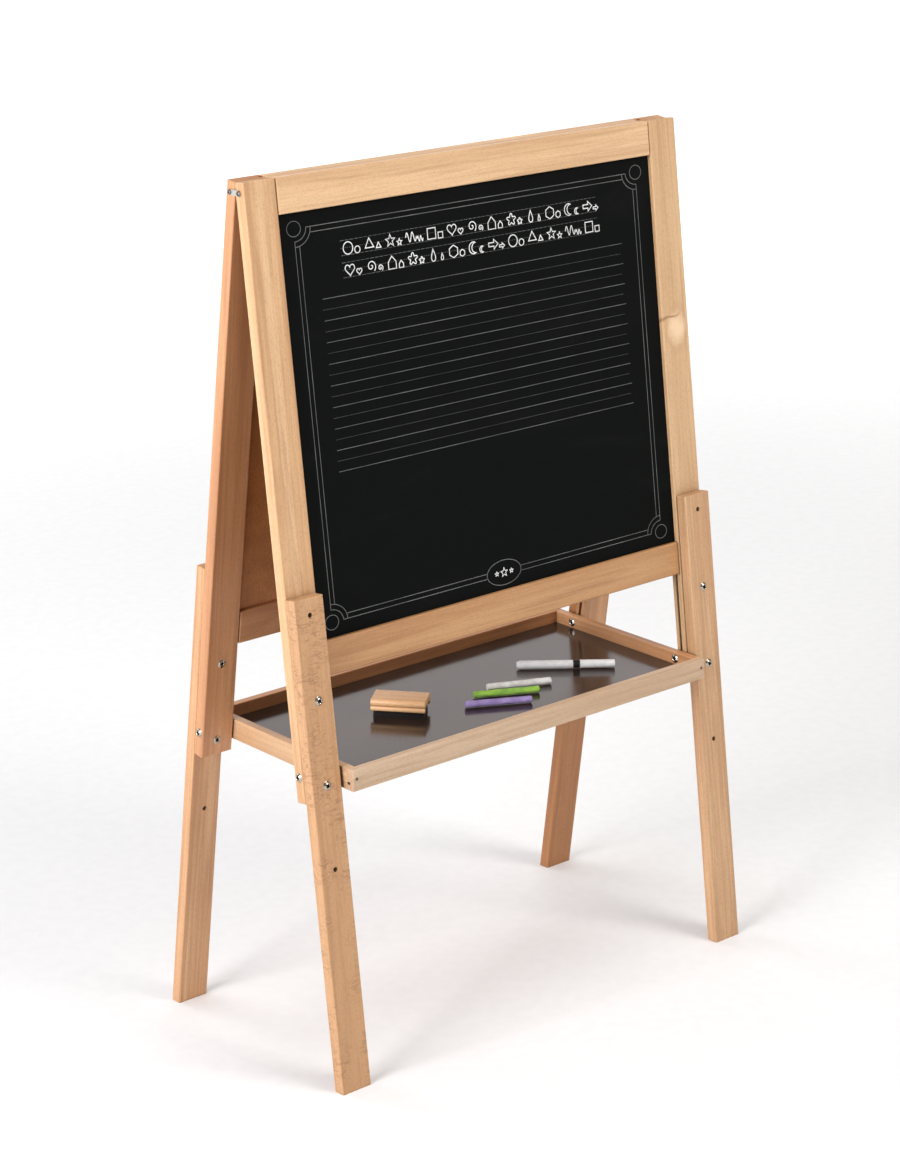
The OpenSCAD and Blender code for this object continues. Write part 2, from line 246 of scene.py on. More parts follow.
def beech(name, space, grain, seed, tint=(1, 1, 1), stripes=1.0, figure=0.0, scar=None):
    """Lacquered beech whose grain runs along one axis of a space that is centred on the bar. stripes is how
    streaky it is, figure is how much ray fleck it shows, and scar is (along, side) of a healed scar."""
    draw = random.Random(seed)
    wood = Shader(name, Coat_Weight=0.10, Coat_Roughness=0.30)
    turn = GRAIN_TURNS[grain] @ space.inverted().to_3x3()
    euler = turn.to_euler("XYZ")
    flat = wood.turned(wood.place, rotation=euler, shift=turn @ -space.to_translation())
    facing = wood.turned(wood.node("TexCoord").outputs["Normal"], rotation=euler, kind="VECTOR")
    p = wood.turned(flat, shift=[draw.uniform(-3, 3) for _ in range(3)])

    def grainy(along, across, **settings):
        """Noise with about that many features a metre along the grain and across it."""
        return wood.noise(wood.turned(p, scale=(along, across, across)), **settings)

    def shade(red, green, blue):
        return (red * tint[0], green * tint[1], blue * tint[2])

    # Growth rings round a pith outside the bar. They wander along its length and vary in width
    wander = grainy(1.7, 11, detail=1.5, out="Color")
    wander = wood.vector("MULTIPLY", wood.vector("SUBTRACT", wander, (0.5, 0.5, 0.5)), (0, 0.060, 0.060))
    pith = (0.0, draw.choice((-1, 1)) * draw.uniform(0.025, 0.060), draw.uniform(-0.030, 0.030))
    from_pith = wood.vector("ADD", wood.vector("SUBTRACT", flat, pith), wander)
    radius = wood.vector("LENGTH", wood.vector("MULTIPLY", from_pith, (0.015, 1, 1)), out="Value")
    uneven = grainy(1.0, 60, detail=1.0)
    rings_per_metre = 1 / (draw.uniform(*RING_WIDTH_MM) * MM)
    rings = wood.math("MULTIPLY_ADD", radius, rings_per_metre, wood.math("MULTIPLY", uneven, 2.6))
    ring = wood.math("FRACT", rings)
    late = wood.math("MULTIPLY", wood.step(ring, 0.05, 0.85), wood.step(ring, 1.0, 0.86))
    late = wood.math("MULTIPLY", late, wood.step(grainy(1.3, 32), 0.36, 0.66))

    bands = grainy(1.1, 46, detail=2.5, roughness=0.55)
    streaks = grainy(5.5, 190, detail=3.0, roughness=0.6)
    fibres = grainy(16, 620, detail=3.0, roughness=0.65)
    clouds = grainy(3.2, 13, detail=2.0)
    pores = wood.step(wood.cells(wood.turned(p, scale=(210, 1150, 1150))), 0.38, 0.20)

    colour = wood.mix(wood.step(clouds, 0.32, 0.68), shade(0.640, 0.384, 0.203), shade(0.715, 0.462, 0.262))
    colour = wood.mix(wood.step(bands, 0.43, 0.66, 0.0, 0.80 * stripes), colour, shade(0.500, 0.275, 0.132))
    colour = wood.mix(wood.step(bands, 0.44, 0.26, 0.0, 0.60 * stripes), colour, shade(0.79, 0.560, 0.352))
    colour = wood.laid(colour, late, 0.44 * stripes, shade(0.46, 0.248, 0.118))
    streaky = 0.45 + 0.2 * stripes
    colour = wood.mix(wood.step(streaks, 0.46, 0.70, 0.0, streaky), colour, shade(*STREAK_BROWN))
    colour = wood.mix(wood.step(fibres, 0.30, 0.62, 0.22, 0.0), colour, shade(0.36, 0.190, 0.090))
    colour = wood.laid(colour, pores, 0.36, shade(0.30, 0.155, 0.070))
    if figure:
        waves = grainy(190, 62, detail=3.0, roughness=0.6, distortion=2.2)
        patches = grainy(24, 45, detail=2.0)
        rays = wood.math("MULTIPLY", wood.step(waves, 0.49, 0.60), wood.step(patches, 0.41, 0.61))
        colour = wood.laid(colour, rays, figure, shade(0.34, 0.175, 0.085))
    if scar:
        colour = wood_scar(wood, flat, colour, *scar)
    end_grain = wood.step(wood.math("ABSOLUTE", wood.axes(facing)[0]), 0.75, 0.95)
    colour = wood.laid(colour, end_grain, 0.40, shade(0.42, 0.225, 0.10))
    # Painted shade: the colour goes dark brown where ambient occlusion finds crevices, holes and the joints
    # between bars
    openness = wood.node("AmbientOcclusion", {"samples": 6}, Distance=CREVICE_SHADE_REACH).outputs["AO"]
    colour = wood.mix(wood.step(openness, 0.06, 0.62, 0.88, 0.0), colour, CREVICE_SHADE_BROWN)
    wood.set("Base Color", colour)
    rough = wood.math("MULTIPLY_ADD", fibres, 0.18, 0.36)
    wood.set("Roughness", wood.math("MULTIPLY_ADD", end_grain, 0.3, rough))
    relief = wood.math("MULTIPLY_ADD", fibres, 0.6, wood.math("MULTIPLY", late, 0.25))
    wood.set("Normal", wood.bump(wood.math("SUBTRACT", relief, pores), 0.05 * MM, strength=0.6))
    return wood.material


def wood_scar(wood, flat, colour, along, side):
    """A short dark line across the grain that fades out to one side, with a paler knot swirl beyond it."""
    place = wood.turned(flat, shift=(-along, 0, -side))
    ripple = wood.vector("SUBTRACT", wood.noise(place, scale=55, detail=3.0, out="Color"), (0.5, 0.5, 0.5))
    place = wood.vector("ADD", place, wood.vector("MULTIPLY", ripple, (14 * MM, 14 * MM, 14 * MM)))
    x, _, z = wood.axes(place)
    slanting = wood.math("ABSOLUTE", wood.math("MULTIPLY_ADD", z, 0.22, x))
    line = wood.math("MULTIPLY", wood.step(slanting, 2.6 * MM, 0.4 * MM), wood.step(z, -13 * MM, 4 * MM))
    swirl = wood.vector("MULTIPLY", wood.turned(place, shift=(15 * MM, 0, 1 * MM)), (0.62, 0, 1))
    eye = wood.vector("LENGTH", swirl, out="Value")
    colour = wood.mix(wood.step(eye, 17 * MM, 3 * MM, 0.0, 0.75), colour, (0.82, 0.600, 0.385))
    rim = wood.math("MULTIPLY", wood.step(eye, 11 * MM, 14 * MM), wood.step(eye, 19 * MM, 15 * MM))
    colour = wood.laid(colour, rim, 0.28, STREAK_BROWN)
    return wood.laid(colour, line, 0.80, (0.27, 0.120, 0.050))


def writing_board(space):
    """Matt black on its outside, with the last haze of wiped chalk, and bare hardboard on its inside."""
    board = Shader("blackboard_matt_black", Specular_IOR_Level=0.05)
    outside = tuple(space.to_3x3() @ Vector((0, -1, 0)))
    facing = board.vector("DOT_PRODUCT", board.node("TexCoord").outputs["Normal"], outside, out="Value")
    front = board.step(facing, 0.3, 0.7)
    grit = board.noise(board.place, scale=1900, detail=2.0)
    wiping = board.turned(board.place, rotation=(0, 0.5, 0), scale=(5, 9, 17))
    smears = board.noise(wiping, detail=3.0, roughness=0.6, distortion=0.8)
    haze = board.math("MULTIPLY", board.step(smears, 0.48, 0.80), board.step(grit, 0.35, 0.70))
    black = board.laid((0.0034, 0.0042, 0.0038), haze, 0.009, (0.75, 0.75, 0.73))
    black = board.mix(board.step(grit, 0.4, 0.7, 0.0, 0.5), black, (0.0054, 0.0062, 0.0057))
    brown, brown_rough = hardboard_colour(board)
    board.set("Base Color", board.mix(front, brown, black))
    rough = board.math("MULTIPLY_ADD", grit, 0.12, 0.78)
    board.set("Roughness", board.mix_values(front, brown_rough, rough))
    board.set("Normal", board.bump(grit, 0.03 * MM, strength=0.5))
    return board.material


def hardboard_colour(sheet):
    """Pressed brown fibre: a mottled colour and its roughness."""
    mottle = sheet.noise(sheet.place, scale=38, detail=4.0, roughness=0.65)
    pressed = sheet.turned(sheet.place, rotation=(0.3, 0.7, 0.2), scale=(900, 260, 420))
    fibres = sheet.noise(pressed, detail=3.0, distortion=1.5)
    specks = sheet.step(sheet.cells(sheet.place, scale=520), 0.30, 0.12)
    colour = sheet.mix(sheet.step(mottle, 0.3, 0.7), (0.370, 0.138, 0.038), (0.470, 0.185, 0.055))
    colour = sheet.mix(sheet.step(fibres, 0.42, 0.66, 0.0, 0.5), colour, (0.200, 0.073, 0.022))
    colour = sheet.laid(colour, specks, 0.35, (0.34, 0.17, 0.08))
    return colour, sheet.step(fibres, 0.3, 0.7, 0.42, 0.58)


def hardboard():
    sheet = Shader("smooth_hardboard")
    colour, rough = hardboard_colour(sheet)
    sheet.set("Base Color", colour)
    sheet.set("Roughness", rough)
    return sheet.material


def enamel():
    """Gloss white dry-wipe enamel: slightly wavy, with the faintest grey where it is wiped."""
    white = Shader("dry_wipe_enamel", Coat_Weight=0.5, Coat_Roughness=0.06)
    peel = white.noise(white.place, scale=420, detail=1.0)
    wiped = white.noise(white.turned(white.place, scale=(7, 7, 16)), detail=3.0, distortion=0.6)
    white.set("Base Color", white.mix(white.step(wiped, 0.45, 0.8), (0.83, 0.835, 0.83), (0.805, 0.81, 0.81)))
    white.set("Roughness", white.step(wiped, 0.3, 0.8, 0.14, 0.26))
    white.set("Normal", white.bump(peel, 0.012 * MM, strength=0.5))
    return white.material


def tray_film():
    """Dark brown satin film with a little chalk dust, and bare hardboard underneath."""
    film = Shader("tray_satin_film")
    mottle = film.noise(film.place, scale=26, detail=4.0, roughness=0.6)
    pebble = film.cells(film.place, scale=900)
    dust = film.math("MULTIPLY", film.step(film.noise(film.place, scale=1400, detail=2.0), 0.55, 0.75),
                     film.step(film.noise(film.place, scale=9, detail=2.0), 0.45, 0.75))
    colour = film.mix(film.step(mottle, 0.3, 0.7), (0.024, 0.0140, 0.0105), (0.038, 0.0230, 0.0175))
    colour = film.laid(colour, dust, 0.16, (0.62, 0.60, 0.56))
    rough = film.math("ADD", film.step(mottle, 0.3, 0.75, 0.12, 0.18), film.math("MULTIPLY", dust, 0.3))
    above = film.step(film.axes(film.node("TexCoord").outputs["Normal"])[2], 0.3, 0.7)
    brown, brown_rough = hardboard_colour(film)
    film.set("Base Color", film.mix(above, brown, colour))
    film.set("Roughness", film.mix_values(above, brown_rough, rough))
    film.set("Normal", film.bump(pebble, 0.010 * MM, strength=0.35))
    return film.material


def nickel(name="bright_nickel", tint=(0.60, 0.57, 0.52), rough=0.20):
    """Nickel plate with fine handling scratches and a faint stain."""
    plate = Shader(name, Metallic=1.0)
    handling = plate.turned(plate.place, rotation=(0.5, 0.3, 0.9), scale=(240, 2600, 900))
    scratches = plate.noise(handling, detail=3.0)
    stain = plate.noise(plate.place, scale=160, detail=2.0)
    darker = tuple(0.8 * c for c in tint)
    plate.set("Base Color", plate.mix(plate.step(stain, 0.45, 0.8), tint, darker))
    plate.set("Roughness", plate.math("MULTIPLY_ADD", scratches, 0.14, rough - 0.05))
    plate.set("Normal", plate.bump(scratches, 0.006 * MM, strength=0.4))
    return plate.material


def chalk_stick(name, light, dark):
    """Dusty moulded chalk: pits, smudges and rubbed lighter patches."""
    stick = Shader(name, Specular_IOR_Level=0.15)
    grain = stick.noise(stick.place, scale=2400, detail=3.0, roughness=0.7)
    pits = stick.step(stick.cells(stick.place, scale=900), 0.26, 0.10)
    rubs = stick.noise(stick.turned(stick.place, scale=(90, 90, 130)), detail=3.0)
    colour = stick.mix(stick.step(rubs, 0.38, 0.66), dark, light)
    colour = stick.laid(colour, pits, 0.4, tuple(0.55 * c for c in dark))
    stick.set("Base Color", stick.mix(stick.step(grain, 0.35, 0.80, 0.0, 0.22), colour, (0.88, 0.87, 0.84)))
    stick.set("Roughness", stick.math("MULTIPLY_ADD", grain, 0.15, 0.82))
    stick.set("Normal", stick.bump(stick.math("SUBTRACT", grain, pits), 0.09 * MM, strength=0.8))
    return stick.material


def felt():
    """Dark pressed felt: tangled fibres and chalk dust caught in them."""
    pad = Shader("pressed_felt", Specular_IOR_Level=0.05, Sheen_Weight=0.12, Sheen_Roughness=0.5)
    tangle = pad.noise(pad.place, scale=1300, detail=4.0, roughness=0.75, distortion=2.0)
    clumps = pad.noise(pad.place, scale=260, detail=2.0)
    colour = pad.mix(pad.step(tangle, 0.3, 0.7), (0.006, 0.005, 0.0045), (0.020, 0.016, 0.014))
    dust = pad.math("MULTIPLY", pad.step(tangle, 0.56, 0.70), pad.step(clumps, 0.50, 0.72))
    pad.set("Base Color", pad.laid(colour, dust, 0.10, (0.50, 0.48, 0.45)))
    pad.set("Roughness", pad.step(clumps, 0.2, 0.8, 0.88, 0.98))
    pad.set("Normal", pad.bump(tangle, 0.25 * MM, strength=0.9))
    return pad.material


def plastic(name, colour, rough):
    """Moulded plastic: a faint flow pattern, fine scuffs and a soft eggshell bump."""
    moulding = Shader(name)
    flow = moulding.noise(moulding.place, scale=140, detail=2.0)
    scuffs = moulding.noise(moulding.turned(moulding.place, rotation=(0, 0, 0.7), scale=(90, 1900, 1900)))
    darker = tuple(0.90 * c for c in colour)
    moulding.set("Base Color", moulding.mix(moulding.step(flow, 0.35, 0.7), colour, darker))
    moulding.set("Roughness", moulding.step(scuffs, 0.35, 0.75, rough, rough + 0.15))
    moulding.set("Normal", moulding.bump(flow, 0.010 * MM, strength=0.4))
    return moulding.material


def print_ink(name, light, faint):
    """Thin screen print, a little broken by the board's grit and worn in places."""
    ink = Shader(name, Specular_IOR_Level=0.2)
    gaps = ink.step(ink.noise(ink.place, scale=1500, detail=2.0), 0.58, 0.72, 0.0, 0.6)
    worn = ink.step(ink.noise(ink.place, scale=24, detail=2.0), 0.35, 0.7)
    ink.set("Base Color", ink.mix(gaps, ink.mix(worn, (light,) * 3, (faint,) * 3), (0.02, 0.02, 0.02)))
    ink.set("Roughness", ink.math("MULTIPLY_ADD", gaps, 0.2, 0.65))
    return ink.material


# ---- Mesh building ----

def finished(name, bm, material, node=None, body=None, smooth=math.radians(35), inner=None):
    """Makes a mesh into a named piece. It stands for a CAD node, or rides on a body. Faces with material
    index 1 get the inner material."""
    mesh = bpy.data.meshes.new(name)
    bmesh.ops.recalc_face_normals(bm, faces=bm.faces)
    bm.to_mesh(mesh)
    bm.free()
    mesh.shade_smooth()
    mesh.set_sharp_from_angle(angle=smooth)
    mesh.materials.append(material)
    if inner:
        mesh.materials.append(inner)
    piece = bpy.data.objects.new(name, mesh)
    bpy.context.scene.collection.objects.link(piece)
    if node:
        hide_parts(node)
    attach(piece, body or BODY_OF[node])
    return piece


def band(bm, one, two):
    """Faces between two rings of equally many vertices."""
    count = len(one)
    return [bm.faces.new((one[k], one[(k + 1) % count], two[(k + 1) % count], two[k])) for k in range(count)]


def lofted(bm, rings, place=Matrix.Identity(4), inner_from=None):
    """Joins rings of equally many points into a closed skin with a fan at each end. With inner_from, the
    faces from that ring to the last fan get material index 1."""
    rows = [[bm.verts.new(place @ Vector(point)) for point in ring] for ring in rings]
    groups = [band(bm, one, two) for one, two in zip(rows, rows[1:])]
    for row in (rows[0], rows[-1]):
        middle = bm.verts.new(sum((v.co for v in row), Vector()) / len(row))
        groups.append([bm.faces.new((one, two, middle)) for one, two in zip(row, row[1:] + row[:1])])
    if inner_from is not None:
        for face in sum(groups[inner_from:-2] + groups[-1:], []):
            face.material_index = 1


def circle(radius, height, segments=48, corners=0, wobble=None):
    """Points round Z. With corners, the circle becomes a polygon whose corners lie on it."""
    points = []
    for k in range(segments):
        angle = 2 * math.pi * k / segments
        r = radius
        if corners:
            sector = 2 * math.pi / corners
            r *= math.cos(sector / 2) / math.cos((angle % sector) - sector / 2)
        if wobble:
            r += wobble(angle, height)
        points.append((r * math.cos(angle), r * math.sin(angle), height))
    return points


def prism_along(bm, points, width, low, high, closed=False, place=Matrix.Identity(4)):
    """A ribbon of constant width along points in the XZ plane, from depth low to depth high along -Y."""
    count = len(points)
    flat = [Vector(p) for p in points]
    sides = []
    for k in range(count):
        before = flat[(k - 1) % count] if closed or k else None
        after = flat[(k + 1) % count] if closed or k < count - 1 else None
        into = (flat[k] - before).normalized() if before is not None else (after - flat[k]).normalized()
        out_of = (after - flat[k]).normalized() if after is not None else into
        along = (into + out_of).normalized() if (into + out_of).length > 1e-4 else into
        normal = Vector((-along.y, along.x))
        stretch = 1 / max(0.5, normal.dot(Vector((-into.y, into.x))))
        sides.append((flat[k] + normal * width / 2 * stretch, flat[k] - normal * width / 2 * stretch))
    rows = []
    for left, right in sides:
        corners = ((left, low), (left, high), (right, high), (right, low))
        rows.append([bm.verts.new(place @ Vector((p.x, -depth, p.y))) for p, depth in corners])
    pairs = list(zip(rows, rows[1:])) + ([(rows[-1], rows[0])] if closed else [])
    for one, two in pairs:
        band(bm, one, two)
    if not closed:
        bm.faces.new(rows[0])
        bm.faces.new(rows[-1])


# ---- Fasteners ----

def fastener_sizes(points):
    """Where a round-headed fastener points, and its sizes, from its solid's points."""
    low, high = extent(points)
    axis = max(range(3), key=lambda i: high[i] - low[i])
    middle = (low + high) / 2
    across = [i for i in range(3) if i != axis]

    def reach(p):
        return math.hypot(*(p[i] - middle[i] for i in across))

    head_r = max(reach(p) for p in points)
    seat = [p[axis] for p in points if reach(p) > 0.97 * head_r]
    seat_at = sum(seat) / len(seat)
    sign = 1 if seat_at > middle[axis] else -1
    tip = low[axis] if sign > 0 else high[axis]
    top = high[axis] if sign > 0 else low[axis]
    shank_r = max(reach(p) for p in points if abs(p[axis] - tip) < 0.05 * MM)
    origin = middle.copy()
    origin[axis] = seat_at
    out = Vector([sign if i == axis else 0 for i in range(3)])
    return origin, out, head_r, abs(top - seat_at), shank_r, abs(tip - seat_at)


def add_fastener(bm, place, head_r, head_h, shank_r, shank_len):
    """A domed head with a rolled rim and a hexagon socket, on a shank with a chamfered tip."""
    rim, chamfer, tip = 0.35 * MM, 0.3 * MM, 0.4 * MM
    socket_r, depth = 0.46 * head_r, 0.75 * head_h
    ball_r = (head_r ** 2 + head_h ** 2) / (2 * head_h)
    mouth_r = socket_r + chamfer
    rings = [circle(shank_r - tip, -shank_len), circle(shank_r, -shank_len + tip), circle(shank_r, 0)]
    rings += [circle(head_r - rim * 0.5, 0), circle(head_r - rim * 0.1, 0.2 * rim), circle(head_r, 0.7 * rim)]
    start = math.asin(min(1, (head_r - 0.15 * rim) / ball_r))
    stop = math.asin(mouth_r / ball_r)
    steps = 8
    for k in range(1, steps + 1):
        angle = start + (stop - start) * k / steps
        height = head_h - ball_r + ball_r * math.cos(angle)
        rings.append(circle(ball_r * math.sin(angle), max(height, 0.9 * rim)))
    mouth = head_h - ball_r + ball_r * math.cos(stop)
    rings.append(circle(socket_r + 0.3 * chamfer, mouth - 0.35 * chamfer))
    rings.append(circle(socket_r, mouth - 1.2 * chamfer, corners=6))
    rings.append(circle(socket_r, head_h - depth, corners=6))
    rings.append(circle(0.25 * socket_r, head_h - depth - 0.25 * MM, corners=6))
    lofted(bm, rings, place, inner_from=len(rings) - 3)


def dress_fasteners(node, material, socket_material):
    """Finely made fasteners in place of a CAD node's plain ones."""
    bm = bmesh.new()
    space = space_of(node)
    for points in solids(node, space):
        origin, out, *sizes = fastener_sizes(points)
        turn = Vector((0, 0, 1)).rotation_difference(out).to_matrix().to_4x4()
        add_fastener(bm, space @ Matrix.Translation(origin) @ turn, *sizes)
    finished(node + "_fine", bm, material, node=node, inner=socket_material)


# ---- The print on the blackboard ----

LINE_W = 0.65 * MM
RULE_W = 0.6 * MM
SOFT_LINE_W = 0.45 * MM
STROKE_W = 1.0 * MM
PRINT_LOW, PRINT_HIGH = -0.03 * MM, 0.05 * MM
CORNER_RING = (8.8 * MM, 7.7 * MM)
BORDER_SIDE, BORDER_TOP, BORDER_BOTTOM = 20.8 * MM, 16.5 * MM, 15.8 * MM
BORDER_GAP = 5.6 * MM
CORNER_ARC = (15.4 * MM, 13.0 * MM)
RULED_FIRST, RULED_PITCH, RULED_COUNT, RULED_HALF = 91 * MM, 22.15 * MM, 9, 211 * MM
SHAPE_ROWS, ROW_H, ROW_HALF = (36 * MM, 58.5 * MM), 15.2 * MM, 182 * MM
SECOND_ROW_STARTS_WITH = 5
# How far each shape of a pair stands from the pair's middle, and its half height
SHAPE_PAIR = ((-4.4 * MM, 0.43 * ROW_H), (7.6 * MM, 0.24 * ROW_H))
BADGE_HALF_W, BADGE_HALF_H = 24.5 * MM, 13.5 * MM
BADGE_STARS = ((-10.5 * MM, 2.6 * MM), (0, 5.2 * MM), (10.5 * MM, 2.6 * MM))
STAR_INNER = 0.42


def arc(centre, radius_x, radius_y, start, stop, count):
    """Points on an ellipse between two angles in degrees."""
    angles = [math.radians(start + (stop - start) * k / count) for k in range(count + 1)]
    return [(centre[0] + radius_x * math.cos(a), centre[1] + radius_y * math.sin(a)) for a in angles]


def polar(radius_at, turns=1.0, count=48):
    """A closed or open outline from a radius that follows the angle, in units of half its height."""
    angles = [2 * math.pi * turns * k / count for k in range(count + (turns != 1.0))]
    return [(radius_at(a) * math.sin(a), radius_at(a) * math.cos(a)) for a in angles]


def regular(corners):
    """A regular polygon with a corner at its top."""
    angles = [2 * math.pi * k / corners for k in range(corners)]
    return [(math.sin(a), math.cos(a)) for a in angles]


def star(points):
    """A star with a point at its top."""
    radii = [1.0, STAR_INNER] * points
    angles = [math.pi * k / points for k in range(2 * points)]
    return [(r * math.sin(a), r * math.cos(a)) for r, a in zip(radii, angles)]


def practice_shapes():
    """Simple shapes to copy, each as (points, closed) with a height from -1 to 1."""
    wave = [(-1.1 + 0.11 * k, 0.75 * math.sin(0.11 * k * 2 * math.pi / 1.1)) for k in range(21)]
    heart = [(0.95 * math.sin(t) ** 3, 0.06 * (13 * math.cos(t) - 5 * math.cos(2 * t) - 2 * math.cos(3 * t)
              - math.cos(4 * t)) + 0.12) for t in (2 * math.pi * k / 40 for k in range(40))]
    drop = [(0.62 * math.sin(t) * math.sin(t / 2) ** 1.6, 0.98 * math.cos(t)) for t in
            (2 * math.pi * k / 36 for k in range(36))]
    moon = arc((0, 0), 0.95, 0.95, 60, 300, 22) + arc((0.42, 0), 0.78, 0.83, 268, 92, 16)
    house = [(-0.8, -1), (0.8, -1), (0.8, 0.1), (0, 1), (-0.8, 0.1)]
    arrow = [(-1, -0.3), (0.1, -0.3), (0.1, -0.8), (1, 0), (0.1, 0.8), (0.1, 0.3), (-1, 0.3)]
    square = [(-0.85, -0.85), (0.85, -0.85), (0.85, 0.85), (-0.85, 0.85)]
    spiral = polar(lambda a: 0.10 + a / 10, turns=1.4, count=36)
    flower = polar(lambda a: 0.74 + 0.24 * math.cos(5 * a))
    return [
        (polar(lambda a: 0.95), True), (regular(3), True), (star(5), True), (wave, False), (square, True),
        (heart, True), (spiral, False), (house, True), (flower, True), (drop, True), (regular(6), True),
        (moon, True), (arrow, True),
    ]


def printed(name, material, draw):
    """A printed piece on the blackboard. draw gets a function that prints one line of (x, z) points."""
    space = frame_space(FRONT)
    place = space @ Matrix.Translation((0, box_in("blackboard", space)[0].y, 0))
    bm = bmesh.new()

    def line(points, width=LINE_W, closed=False):
        prism_along(bm, points, width, PRINT_LOW, PRINT_HIGH, closed, place)

    draw(line)
    return finished(name, bm, material, body="front_frame")


def dashes(line, half, height, dash, gap, width):
    """A row of short lines from -half to half."""
    for k in range(int(2 * half / (dash + gap))):
        x = -half + k * (dash + gap)
        line([(x, height), (x + dash, height)], width)


def print_border(line, side, top, bottom):
    """A double border with rings in its hollow corners, broken at the foot by the badge."""
    for x in (-side, side):
        for z in (top, bottom):
            line(arc((x, z), *CORNER_RING, 0, 350, 35), closed=True)
    for inset in (0.0, BORDER_GAP):
        wide, high = CORNER_ARC[0] + inset, CORNER_ARC[1] + inset
        for sign in (-1, 1):
            line([(sign * (side - inset), top - high), (sign * (side - inset), bottom + high)])
            line([(sign * (side - wide), bottom + inset), (sign * BADGE_HALF_W * 1.02, bottom + inset)])
            for z, start in ((top, 270), (bottom, 90)):
                line([(sign * px, pz) for px, pz in arc((side, z), wide, high, start, 180, 16)])
        line([(wide - side, top - inset), (side - wide, top - inset)])


def print_rules(line, top):
    """The ruled lines with dotted lines between them, and the dashed lines of the two rows of shapes."""
    for k in range(RULED_COUNT):
        z = top - RULED_FIRST - k * RULED_PITCH
        line([(-RULED_HALF, z), (RULED_HALF, z)], RULE_W)
        if k < RULED_COUNT - 1:
            dashes(line, RULED_HALF, z - RULED_PITCH / 2, 1.3 * MM, 1.5 * MM, SOFT_LINE_W)
    for offset in SHAPE_ROWS:
        for drop in (0, ROW_H):
            dashes(line, ROW_HALF, top - offset - drop, 5 * MM, 1.2 * MM, SOFT_LINE_W)
        dashes(line, ROW_HALF, top - offset - ROW_H / 2, 1.3 * MM, 1.5 * MM, SOFT_LINE_W)


def print_shapes(line, top, badge_z):
    """Two rows of simple shapes to copy, each large and small, and three stars in the badge."""
    shapes = practice_shapes()
    pitch = 2 * ROW_HALF / len(shapes)
    for row, offset in enumerate(SHAPE_ROWS):
        base = top - offset - ROW_H
        for k in range(len(shapes)):
            points, closed = shapes[(k + SECOND_ROW_STARTS_WITH * row) % len(shapes)]
            x = -ROW_HALF + (k + 0.5) * pitch
            for aside, size in SHAPE_PAIR:
                outline = [(x + aside + size * px, base + size * (1.05 + pz)) for px, pz in points]
                line(outline, STROKE_W, closed)
    for x, size in BADGE_STARS:
        line([(x + size * px, badge_z + size * pz) for px, pz in star(5)], 0.8 * STROKE_W, True)


def board_print():
    """The print on the blackboard, placed by the inner edges of its frame."""
    space = frame_space(FRONT)
    top = box_in("front_top_rail", space)[0].z
    bottom = box_in("front_bottom_rail", space)[1].z
    side = box_in("front_stile_right", space)[0].x - BORDER_SIDE
    high, low = top - BORDER_TOP, bottom + BORDER_BOTTOM
    badge = (0, low + BORDER_GAP / 2)

    def border(line):
        print_border(line, side, high, low)
        line(arc(badge, BADGE_HALF_W, BADGE_HALF_H, 0, 352.5, 47), closed=True)

    def rules(line):
        print_rules(line, top)

    def shapes(line):
        print_shapes(line, top, badge[1])

    printed("printed_border", print_ink("ink_border", 0.17, 0.10), border)
    printed("printed_rules", print_ink("ink_rules", 0.15, 0.075), rules)
    printed("printed_shapes", print_ink("ink_shapes", 0.82, 0.66), shapes)


# ---- Loose things ----

HANDLE_LIP = 5.5 * MM
HANDLE_ROOF = 0.56    # height of the hollow under the eraser's handle, as a part of the handle's height
FELT_LAYERS = 4
FELT_SQUARENESS = 9   # exponent of the superellipse that a layer of felt is cut to


def chalk_piece(node, material, seed):
    """A moulded stick with softened ends, one of them worn by writing."""
    space, size = lying(node)
    radius, half = size.y / 2, size.x / 2
    worn, soft, inset = 1.6 * MM, 0.7 * MM, 0.12 * MM
    segments, parts = 40, 26

    def wobble(angle, height):
        spot = Vector((math.cos(angle) * 2.2, math.sin(angle) * 2.2, height * 260 + seed))
        return 0.16 * MM * (noise.noise(spot) - 0.35) + 0.07 * MM * (noise.noise(spot * 3.7) - 0.5)

    steps = [-half, -half + 0.25 * soft, -half + soft]
    steps += [-half + soft + (2 * half - soft - worn) * k / parts for k in range(1, parts)]
    steps += [half - worn, half - 0.45 * worn, half - 0.1 * worn]
    narrow = {0: soft * 0.8, 1: soft * 0.3, len(steps) - 2: worn * 0.45, len(steps) - 1: worn * 1.1}
    bm = bmesh.new()
    on_axis = space @ Matrix.Translation((0, 0, radius)) @ Matrix.Rotation(math.radians(90), 4, "Y")
    rings = []
    for k, z in enumerate(steps):
        rings.append(circle(radius - inset - narrow.get(k, 0), z, segments, wobble=wobble))
    lofted(bm, rings, on_axis)
    return finished(node + "_stick", bm, material, node=node)


